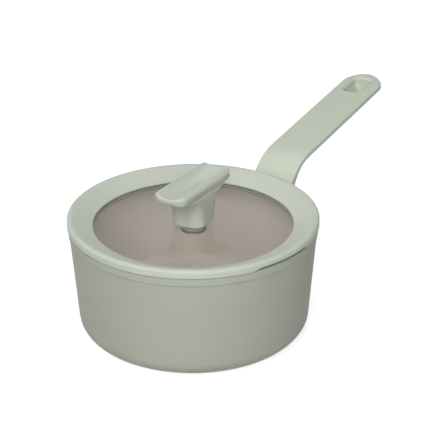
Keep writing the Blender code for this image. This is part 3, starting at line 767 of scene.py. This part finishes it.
def makeTrayKnob(look):
    # column, flare and a trough open at both ends, between two ridges
    seat, top = knobBox[0].z, knobBox[1].z
    foot = seat - look["footDrop"]
    halfX, halfY = knobBox[1].x, knobBox[1].y
    column, columnCorner, corner = look["column"], look["columnCorner"], look["corner"]
    edge = top - look["edge"]
    rise = edge - foot
    bore, recess, footRound = look["bore"], look["washerRecess"], look["footRound"]
    boreEase, recessEase = look["boreEase"], look["recessEase"]
    boreCorner, recessCorner = bore * look["roundness"], recess * look["roundness"]
    inside = [
        (0.15 * mm, 0.15 * mm, 0.14 * mm, seat + look["boreDepth"]),     # all but closed
        (bore, bore, boreCorner, seat + look["boreDepth"]),
        (bore, bore, boreCorner, seat + boreEase),
        (bore + boreEase, bore + boreEase, boreCorner, seat),
        (recess, recess, recessCorner, seat),
        (recess, recess, recessCorner, foot + recessEase),
        (recess + recessEase, recess + recessEase, recessCorner, foot),
    ]
    start = []
    for inset, up in ((footRound, 0.0), (0.3 * footRound, 0.3 * footRound), (0.0, footRound)):
        start.append((column - inset, column - inset, columnCorner - inset, foot + up))
    flare = [start[-1]]
    for longer, wider, share in look["flare"]:
        flare.append((column + longer, column + wider, columnCorner, foot + rise * share))
    longer, share = look["flareEnd"]
    flare.append((column + longer, column, corner + 1 * mm, foot + rise * share))
    for insetX, insetY, up in look["trayFoot"]:
        flare.append((halfX - insetX, halfY - insetY, corner, edge + up))
    loops = [softRectangle(*level) for level in inside + start + throughLevels(flare, 6)[1:]]

    def surface(x, y):
        share = min(1.0, abs(x) / halfX)
        deep = mix(look["trough"], look["endTrough"], share * share)
        across = abs(y) / (halfY - look["ridge"])
        return top - deep * max(0.0, 1 - across ** look["bowl"])

    sideRound, endRound = look["sideRound"], look["endRound"]
    roundSteps, troughSteps = look["roundSteps"], look["troughSteps"]
    insets = [sideRound * (1 - math.cos(math.radians(90 * i / roundSteps))) for i in range(roundSteps + 1)]
    inward = (halfY - look["lastInset"] - sideRound) / troughSteps
    insets += [sideRound + inward * step for step in range(1, troughSteps + 1)]
    for inset in insets:
        outline = softRectangle(halfX - inset, halfY - inset, max(corner - inset, 0.1 * mm), 0.0)
        ring = []
        for i, point in enumerate(outline):
            along = outline[(i + 1) % len(outline)] - outline[i - 1]
            side = along.x ** 2 / along.length_squared     # 1 on a long side, 0 on an end
            rounding = mix(endRound, sideRound, side)
            back = max(0.0, 1 - inset / rounding)
            power = look["rounding"]
            drop = mix(endRound, look["sideDrop"], side) * (1 - max(0.0, 1 - back ** power) ** (1 / power))
            ring.append(Vector((point.x, point.y, surface(point.x, point.y) - drop)))
        loops.append(ring)
    knob = lofted("trayKnob", loops, "sageKnob")
    handOver(knob, "lid", ["lid_knob"], 50)


makeTrayKnob(knobLook)


# handle

handleLook = {
    "rootHeading": math.radians(12), "rootBend": 22.0 * mm, "climbHeading": math.radians(46),
    "climb": 15.4 * mm, "gripBend": 40.0 * mm, "gripHeading": math.radians(7.2), "grip": 130.8 * mm,
    "width": 32.2 * mm, "edge": 3.4 * mm, "depth": 11.5 * mm, "crown": 1.6 * mm, "crownLift": 0.7 * mm,
    "rootWidth": 28.0 * mm, "rootEdge": 8.5 * mm, "rootDepth": 17.0 * mm, "rootCrown": 1.2 * mm,
    "blend": 46.0 * mm, "widthBlend": 24.0 * mm, "tipSwell": 3.4 * mm, "tipSwellFrom": 50.0 * mm,
    "holeLength": 24.4 * mm, "holeWidth": 14.2 * mm, "holeCorner": 4.5 * mm, "holeInset": 8.5 * mm,
    # height and how much further out the hole's wall is there, in mm: a tapered funnel, a rounded mouth
    "holeLevels": ((-30, -2.2), (-14.8, -2.2), (-13.8, -3.6), (-12.6, -4.0), (-5.4, -0.8), (-2.2, 0.0),
                   (-1.3, 0.15), (-0.8, 0.4), (-0.3, 0.9), (0.4, 1.8), (12, 1.8)),
    "edgeRound": 1.3 * mm, "holeShift": 0.5 * mm, "tipTurn": math.radians(88), "tipSteps": 16,
}

tongueLook = {
    "length": 18.0 * mm, "width": 14.0 * mm, "thickness": 5.0 * mm, "heading": math.radians(22),
    "sink": 7.5 * mm, "gap": 0.3 * mm, "screwPlace": 9.5 * mm, "screwGrip": 1.8 * mm,
    "washer": 4.8 * mm, "washerThickness": 1.0 * mm, "shank": 2.4 * mm, "tipDrop": 0.2 * mm,
    "socketMouth": 4.0 * mm,
}


def soft(share):
    share = min(1.0, max(0.0, share))
    return share * share * (3 - 2 * share)


def handleLine(look):
    # upper edge of the handle: (x, z, heading, walked), out of the wall, up, and along the grip
    halfWidth = look["width"] / 2
    x, z, heading, walked = 0.0, 0.0, look["rootHeading"], 0.0
    line = [(x, z, heading, walked)]
    moves = (     # distance, heading at its end, steps
        (look["rootBend"] * (look["climbHeading"] - look["rootHeading"]), look["climbHeading"], 12),
        (look["climb"], look["climbHeading"], 6),
        (look["gripBend"] * (look["climbHeading"] - look["gripHeading"]), look["gripHeading"], 18),
        (look["grip"] - halfWidth, look["gripHeading"], 40),
    )
    for distance, target, steps in moves:
        turn = (target - heading) / steps
        for _ in range(steps):
            x += distance / steps * math.cos(heading + turn / 2)
            z += distance / steps * math.sin(heading + turn / 2)
            heading += turn
            walked += distance / steps
            line.append((x, z, heading, walked))
    for i in range(1, look["tipSteps"] + 1):
        reach = halfWidth * math.sin(look["tipTurn"] * i / look["tipSteps"])
        line.append((x + reach * math.cos(heading), z + reach * math.sin(heading), heading, walked + reach))
    straightEnd = (x, z, heading, walked)
    lift = handleBox[1].z - max(z for _, z, _, _ in line)
    shift = handleBox[0].x
    moved = [(x + shift, z + lift, heading, walked) for x, z, heading, walked in line]
    return moved, (straightEnd[0] + shift, straightEnd[1] + lift, straightEnd[2], straightEnd[3])


def handleSection(half, edge, depth, crown, boat, corner):
    # (across, up) points round one section: soft crown, round edges, underside from round to boat-like
    corner = min(corner, half * 0.4, edge * 0.4)
    points = []
    topSteps, bellySteps, cornerSteps = 20, 40, 4
    for i in range(topSteps + 1):
        across = (half - corner) * (1 - 2 * i / topSteps)
        points.append((across, -crown * (across / half) ** 2))
    fall = -crown * ((half - corner) / half) ** 2
    for i in range(1, cornerSteps + 1):
        angle = math.pi / 2 * i / cornerSteps
        points.append((-half + corner - corner * math.sin(angle), fall - corner + corner * math.cos(angle)))
    for i in range(bellySteps + 1):
        share = math.cos(math.pi * i / bellySteps)
        deep = max(0.0, 1 - abs(share) ** (2 - 0.5 * boat)) ** (0.5 + 0.5 * boat)
        points.append((-half * share, fall - edge - (depth - edge) * deep))
    for i in range(cornerSteps):
        angle = math.pi / 2 * i / cornerSteps
        points.append((half - corner + corner * math.cos(angle), fall - corner + corner * math.sin(angle)))
    return points


def tonguePlace(look):
    line, _ = handleLine(handleLook)
    x, z, _, _ = line[0]
    return Matrix.Translation((x, 0, z - look["sink"])) @ Matrix.Rotation(-look["heading"], 4, "Y")


def makeHandleShell(look, tongue):
    line, straightEnd = handleLine(look)
    loops = []
    for x, z, heading, walked in line:
        blend = soft(walked / look["blend"])
        past = max(0.0, walked - straightEnd[3]) / (look["width"] / 2)
        shrink = math.sqrt(max(0.0, 1 - past * past))
        widening = soft(walked / look["widthBlend"])
        half = mix(look["rootWidth"], look["width"], widening) / 2 * shrink
        edge = mix(look["rootEdge"], look["edge"], blend)
        depth = mix(look["rootDepth"], look["depth"], blend)
        depth += look["tipSwell"] * soft(1 - (straightEnd[3] - walked) / look["tipSwellFrom"])
        depth = mix(edge, depth, shrink)
        crown = mix(look["rootCrown"], look["crown"], blend) * shrink
        upright = walked == 0.0
        normal = Vector((0, 0, 1)) if upright else Vector((-math.sin(heading), 0, math.cos(heading)))
        section = handleSection(half, edge, depth, crown, blend, look["edgeRound"])
        raised = look["crownLift"] * shrink
        loops.append([Vector((x, across, z)) + normal * (up + raised) for across, up in section])
    handle = lofted("handleShell", loops, "sageHandle")

    x, z, heading, _ = straightEnd
    back = look["width"] / 2 - look["holeInset"] - look["holeLength"] / 2
    middle = Vector((x + back * math.cos(heading), look["holeShift"], z + back * math.sin(heading)))
    place = Matrix.Translation(middle) @ Matrix.Rotation(-heading, 4, "Y")
    outlines = []
    for up, grow in look["holeLevels"]:
        outline = softRectangle(look["holeLength"] / 2 + grow * mm, look["holeWidth"] / 2 + grow * mm,
                                look["holeCorner"] + grow * mm, up * mm)
        outlines.append([place @ point for point in outline])
    # the hole's walls take the darker painted-shade finish through the cut
    hole = lofted("holeCutter", outlines, "holePaintedShade")
    cut(handle, hole)

    gap = tongue["gap"]
    mouth = tongue["socketMouth"]
    size = (tongue["length"] + mouth + 2 * gap, tongue["width"] + 2 * gap, tongue["thickness"] + 2 * gap)
    middle = ((tongue["length"] - mouth) / 2, 0, 0)
    cut(handle, boxCutter("socketCutter", size, middle, "sageHandle", tonguePlace(tongue)))

    seat = -tongue["thickness"] / 2 - tongue["screwGrip"]
    well, shank = tongue["washer"] + gap, tongue["shank"] + gap
    low = -2 * look["rootDepth"]
    path = [Vector(p) for p in ((0, low), (well, low), (well, seat), (shank, seat), (shank, 0), (0, 0))]
    wellCutter = cleanUp(turned("wellCutter", path, "sageHandle", 48))
    wellCutter.data.transform(tonguePlace(tongue) @ Matrix.Translation((tongue["screwPlace"], 0, 0)))
    cut(handle, wellCutter)
    handOver(handle, "pan", ["handle_grip"], 38)


makeHandleShell(handleLook, tongueLook)


# screws, insert and washers

screwLook = {"pitch": 0.7 * mm, "threadDepth": 0.3 * mm, "slotWidth": 1.0 * mm, "head": 4.6 * mm,
             "headHeight": 2.4 * mm, "shank": 1.95 * mm, "threadLength": 11.5 * mm}

handleScrewLook = {"pitch": 0.8 * mm, "threadDepth": 0.35 * mm, "slotWidth": 1.0 * mm, "head": 4.2 * mm,
                   "headHeight": 2.4 * mm, "shank": 2.4 * mm, "threadLength": 5.5 * mm}

knobWasherLook = {"thickness": 2.0 * mm, "collarGap": 0.3 * mm, "edge": 0.5 * mm}

screwHole = screwLook["shank"] + 0.35 * mm     # in the insert and the washers


def slottedScrew(name, look, headFoot, tip, finish):
    # a screw that points up, its head below, with a rolled thread and a driver slot
    head, shank = look["head"], look["shank"]
    headTop = headFoot + look["headHeight"]
    threadFoot = tip - look["threadLength"]
    outline = [
        (0.0, headFoot, 0), (head * 0.8, headFoot, 1.2 * mm), (head, headTop - 0.5 * mm, 0.5 * mm),
        (head, headTop, 0.1 * mm), (shank, headTop, 0.2 * mm), (shank, threadFoot, 0),
        (shank, tip - 0.6 * mm, 0), (shank - 0.6 * mm, tip, 0), (0.0, tip, 0),
    ]
    path = roundedPath(outline, steps=5)
    split = next(i for i, p in enumerate(path) if (p - Vector((shank, threadFoot))).length < tiny)
    path = path[:split] + filled(path[split:split + 2], look["pitch"] / 9) + path[split + 2:]
    marks = {"threaded": lambda x, z: soft(min((z - threadFoot) / look["pitch"], (tip - z) / look["pitch"]))
             if x > shank - tiny and z >= threadFoot else 0.0}
    values = {"Thread pitch": look["pitch"], "Thread depth": look["threadDepth"]}
    screw = cleanUp(turned(name, path, finish, 56, marks, **values))
    size = (head * 3, look["slotWidth"], look["headHeight"])
    return cut(screw, boxCutter("slotCutter", size, (0, 0, headFoot), finish))


def makeScrews():
    low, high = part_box("lid_screw")
    lidScrew = slottedScrew("lidScrew", screwLook, low.z, high.z, "screwSteel")
    handOver(lidScrew, "lid", ["lid_screw"], 35)

    tongue = tongueLook
    washerFoot = -tongue["thickness"] / 2 - tongue["screwGrip"] - tongue["gap"] - tongue["washerThickness"]
    headFoot = washerFoot - tongue["gap"] - handleScrewLook["headHeight"]
    tip = tongue["thickness"] / 2 - tongue["tipDrop"]
    screw = slottedScrew("handleScrew", handleScrewLook, headFoot, tip, "screwSteel")
    screw.data.transform(tonguePlace(tongue) @ Matrix.Translation((tongue["screwPlace"], 0, 0)))
    handOver(screw, "pan", ["handle_screw"], 35)


insertLook = {
    "knurls": 36, "knurlDepth": 0.25 * mm, "chamfer": 0.3 * mm, "foot": 0.8 * mm, "head": 0.4 * mm,
    "waist": 0.8 * mm, "waistNeck": 0.5 * mm, "waistDepth": 0.45 * mm, "longest": 0.8 * mm, "sides": 216,
}


def makeInsert(look):
    # a knurled sleeve with a plain waist, moulded into the knob
    low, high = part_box("knob_insert")
    foot, top, outer = low.z, high.z, high.x
    middle = (foot + top) / 2
    neck = outer - look["waistDepth"]
    section = [
        (screwHole, foot, 0.2 * mm),
        (outer - look["chamfer"], foot, 0.2 * mm),
        (outer, foot + look["foot"], 0.1 * mm),
        (outer, middle - look["waist"], 0.1 * mm),
        (neck, middle - look["waistNeck"], 0.1 * mm),
        (neck, middle + look["waistNeck"], 0.1 * mm),
        (outer, middle + look["waist"], 0.1 * mm),
        (outer, top - look["head"], 0.1 * mm),
        (outer - look["chamfer"], top, 0.1 * mm),
        (screwHole, top, 0.2 * mm),
    ]
    marks = {"knurled": lambda x, z: x > outer - 20 * tiny}
    path = filled(roundedPath(section, closed=True, steps=3), look["longest"])
    values = {"Knurl count": look["knurls"], "Knurl depth": look["knurlDepth"]}
    insert = turned("knobInsert", path, "insertBrass", look["sides"], marks, **values)
    handOver(insert, "lid", ["knob_insert"], 30)


def makeWasher(name, node, section, finish):
    piece = turned(name, roundedPath(section, closed=True, steps=4), finish, 96)
    handOver(piece, "lid", [node])


def makeWashers():
    washers = (
        ("underGlassWasher", "under_glass_washer", "washerSilicone", "washer_silicone", 0.4 * mm),
        ("steelWasher", "steel_washer", "screwSteel", "screw_steel", 0.2 * mm),
    )
    for name, node, finish, slot, edge in washers:
        low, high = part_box(node)
        section = [(screwHole, low.z, edge / 2), (high.x, low.z, edge),
                   (high.x, high.z, edge), (screwHole, high.z, edge / 2)]
        makeWasher(name, node, section, finish)

    low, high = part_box("knob_washer")
    seat = high.z - knobWasherLook["thickness"]
    collar = paneShape["hole"] - knobWasherLook["collarGap"]
    edge = knobWasherLook["edge"]
    section = [(screwHole, low.z, 0.2 * mm), (collar, low.z, 0.3 * mm), (collar, seat, 0.1 * mm),
               (high.x, seat, edge), (high.x, high.z, edge), (screwHole, high.z, 0.2 * mm)]
    makeWasher("knobWasher", "knob_washer", section, "washerSilicone")


makeScrews()
makeInsert(insertLook)
makeWashers()

for node, finish in (("handle_bracket", "bracketSteel"), ("handle_washer", "screwSteel")):
    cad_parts[node].data.materials[0] = finishes[finish]
print("bracket and handle washer: new finish")


# floor, lamps, camera

studio = {
    "floorSize": 6.0, "floorTone": (0.55, 0.55, 0.545, 1.0), "floorGlow": 0.76, "floorGap": 0.02 * mm,
    "cloudSize": 0.4, "cloudShade": 0.99,
    "skyStrength": 0.08, "seenSky": 1.0, "highSky": 0.38, "fadeFrom": 0.2, "fadeWidth": 0.16,
    "lampAim": (0.04, 0.0, 0.05),
    "lamps": {     # power, size, azimuth, elevation, distance
        "highLamp": (11.8, 0.9, 193.0, 52.0, 1.7),
        "lowLamp": (12.5, 0.9, 213.0, 28.0, 1.7),
        "topLamp": (4.9, 0.9, 33.0, 80.0, 1.6),
        "rearLamp": (4.6, 0.7, 84.0, 32.0, 1.7),
    },
}

view = {
    "distance": 1.0, "azimuth": 32.65, "elevation": 25.38,     # metres and degrees, from the lid's crest
    "panRight": 1.284, "tiltDown": 0.414, "lens": 120.32,
}


def seenShare(recipe):
    # 1 where the background is looked at, straight, in gloss or through glass
    path = recipe.node("ShaderNodeLightPath", None, None, "Is Camera Ray")
    return (path + path.output("Is Glossy Ray") + path.output("Is Transmission Ray")).clamped()


def makeFloor(look):
    mesh = bpy.data.meshes.new("floor")
    half = look["floorSize"] / 2
    corners = [(-half, -half, 0), (half, -half, 0), (half, half, 0), (-half, half, 0)]
    mesh.from_pydata(corners, [], [(0, 1, 2, 3)])
    material, recipe = newFinish("paleFloor")
    paint = recipe.noise(recipe.place(), look["cloudSize"])
    darker = tuple(look["cloudShade"] * part for part in look["floorTone"])
    shade = recipe.tint(paint, look["floorTone"], darker)
    plain = recipe.node("ShaderNodeBsdfDiffuse", None, {"Color": shade})
    glow = recipe.node("ShaderNodeEmission", None, {"Strength": seenShare(recipe) * look["floorGlow"]})
    closeFinish(recipe, recipe.node("ShaderNodeAddShader", None, {0: plain, 1: glow}))
    mesh.materials.append(material)
    floor = newPiece("floor", mesh)
    floor.location.z = -look["floorGap"]


def makeSky(look):
    world = bpy.data.worlds.new("studio")
    scene.world = world
    world.use_nodes = True
    world.node_tree.nodes.clear()
    recipe = Recipe(world.node_tree)
    toSky = recipe.node("ShaderNodeTexCoord", None, None, "Generated")
    height = recipe.parts(toSky).output("Z")
    fade = ((height - look["fadeFrom"]) / look["fadeWidth"]).eased()     # white low down, greyer overhead
    seen = look["seenSky"] + fade * (look["highSky"] - look["seenSky"])
    strength = look["skyStrength"] + seenShare(recipe) * (seen - look["skyStrength"])
    sky = recipe.node("ShaderNodeBackground", None, {"Color": (1, 1, 1, 1), "Strength": strength})
    recipe.node("ShaderNodeOutputWorld", None, {"Surface": sky})


def direction(azimuth, elevation):
    a, e = math.radians(azimuth), math.radians(elevation)
    return Vector((math.cos(e) * math.cos(a), math.cos(e) * math.sin(a), math.sin(e)))


def addLamp(name, power, size, azimuth, elevation, distance):
    lamp = bpy.data.lights.new(name, "AREA")
    lamp.shape = "DISK"
    lamp.energy = power
    lamp.size = size
    toLamp = direction(azimuth, elevation)
    holder = bpy.data.objects.new(name, lamp)
    holder.location = Vector(studio["lampAim"]) + toLamp * distance
    holder.rotation_euler = (-toLamp).to_track_quat("-Z", "Y").to_euler()
    scene.collection.objects.link(holder)


def addCamera(look):
    camera = bpy.data.cameras.new("camera")
    camera.lens = look["lens"]
    camera.sensor_width = 36.0
    holder = bpy.data.objects.new("camera", camera)
    aim = Vector((0, 0, ringBox[1].z))
    holder.location = aim - direction(look["azimuth"], -look["elevation"]) * look["distance"]
    pitch = math.radians(90 - look["elevation"] - look["tiltDown"])
    heading = math.radians(look["azimuth"] - look["panRight"] - 90)
    holder.rotation_euler = (pitch, 0, heading)
    scene.collection.objects.link(holder)
    scene.camera = holder


makeFloor(studio)
makeSky(studio)
for lampName, lampSetting in studio["lamps"].items():
    addLamp(lampName, *lampSetting)
addCamera(view)
scene.view_settings.view_transform = "Standard"
print("floor, lamps and camera")
